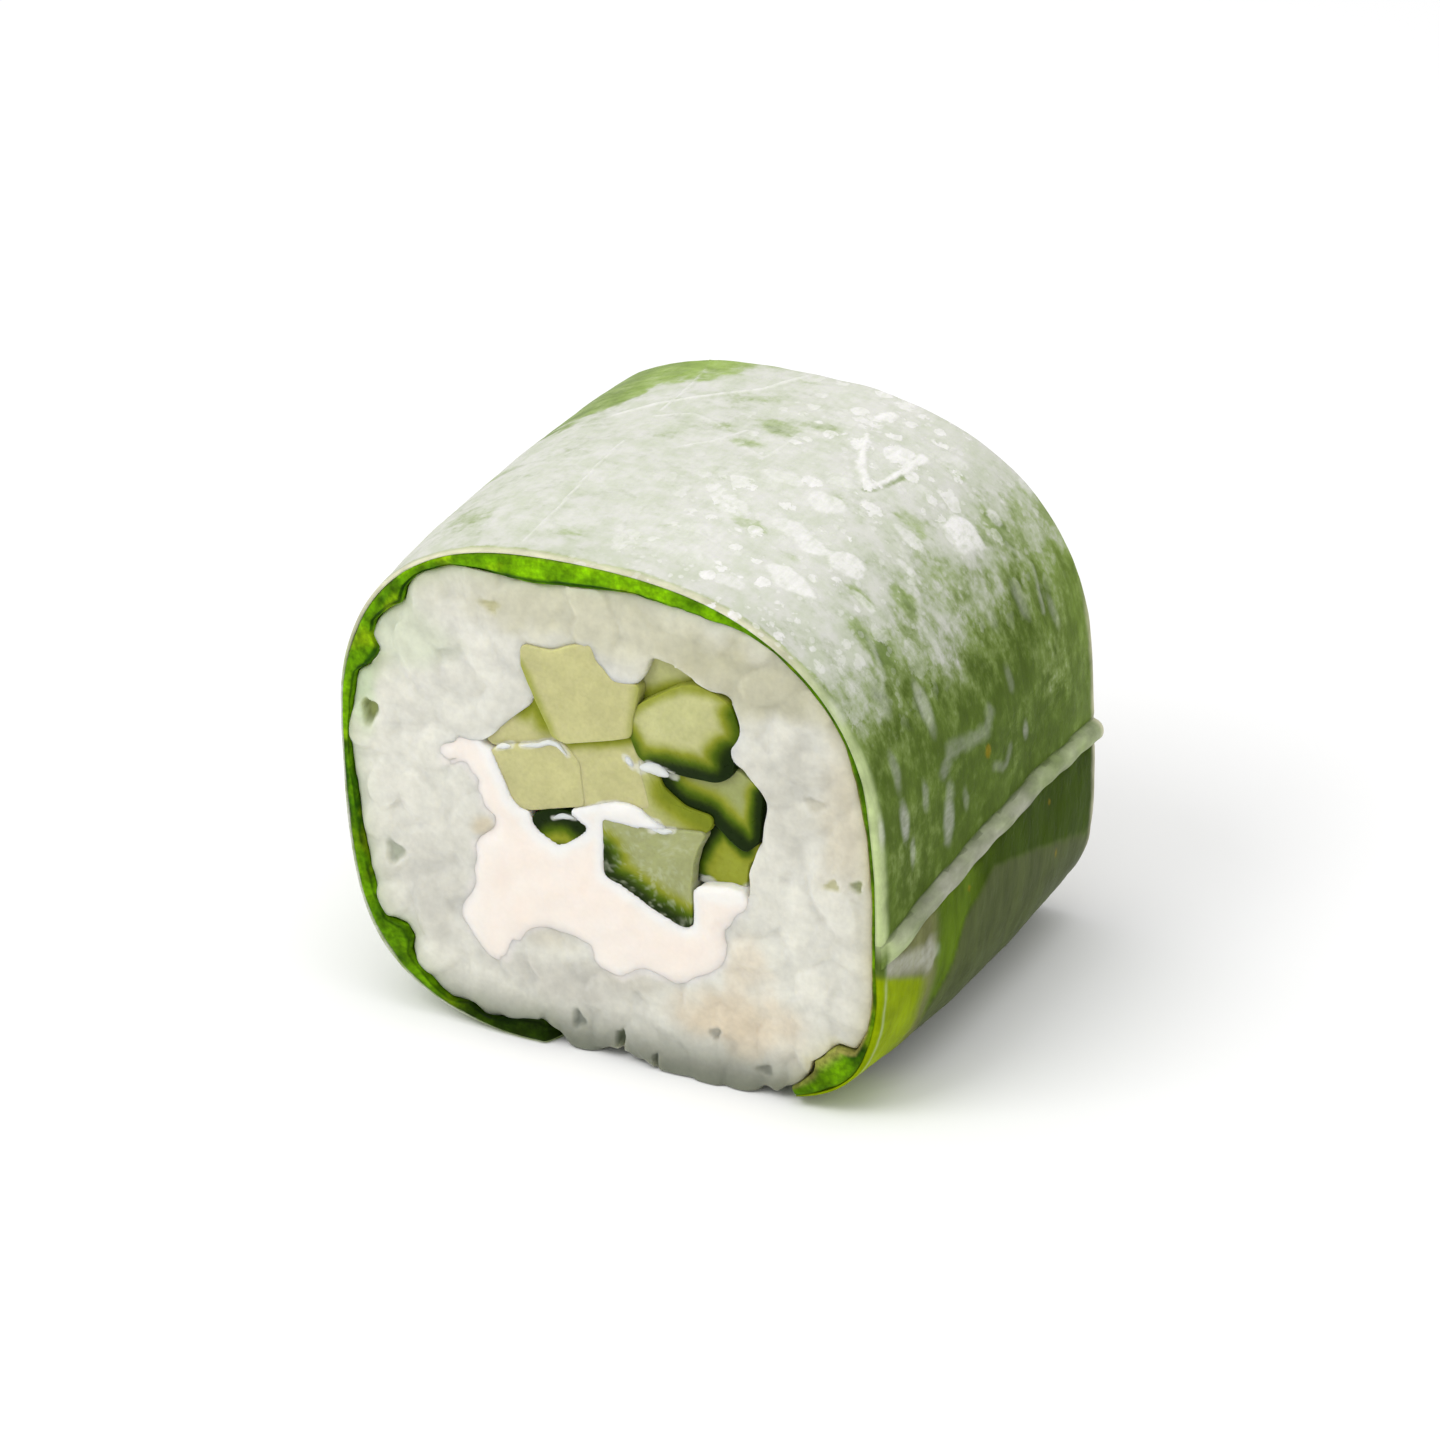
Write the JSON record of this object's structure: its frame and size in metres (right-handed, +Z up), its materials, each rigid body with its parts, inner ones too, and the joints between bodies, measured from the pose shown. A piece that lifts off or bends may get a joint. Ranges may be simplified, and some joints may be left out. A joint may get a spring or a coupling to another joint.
{
  "type": "cucumber cream cheese roll",
  "caption": "Cut piece of rice roll in rice paper and lettuce, filled with cream cheese and cucumber sticks that show at both cut faces.",
  "frame": {"origin": "on the surface the roll rests on, under the middle of its box", "axes": "+Y along the roll from the front cut face to the back one, +Z up, +X to the right seen from the front"},
  "size_m": [0.0406, 0.0314, 0.0354],
  "materials": {
    "rice_paper": "frosted translucent rice paper over green leaf",
    "lettuce": "moist fresh leaf",
    "rice": "moist cooked rice",
    "cream_cheese": "smooth soft cheese",
    "cucumber": "wet cut cucumber"
  },
  "bodies": {
    "root": {"rice_paper": "rice_paper", "lettuce_leaf": "lettuce", "rice": "rice", "cream_cheese": "cream_cheese", "cucumber_top_left": "cucumber", "cucumber_upper_left": "cucumber", "cucumber_left": "cucumber", "cucumber_middle": "cucumber", "cucumber_centre": "cucumber", "cucumber_right": "cucumber", "cucumber_top_right": "cucumber", "cucumber_top": "cucumber", "cucumber_bottom": "cucumber", "cucumber_lower_right": "cucumber", "cucumber_sliver": "cucumber"}
  },
  "joints": []
}
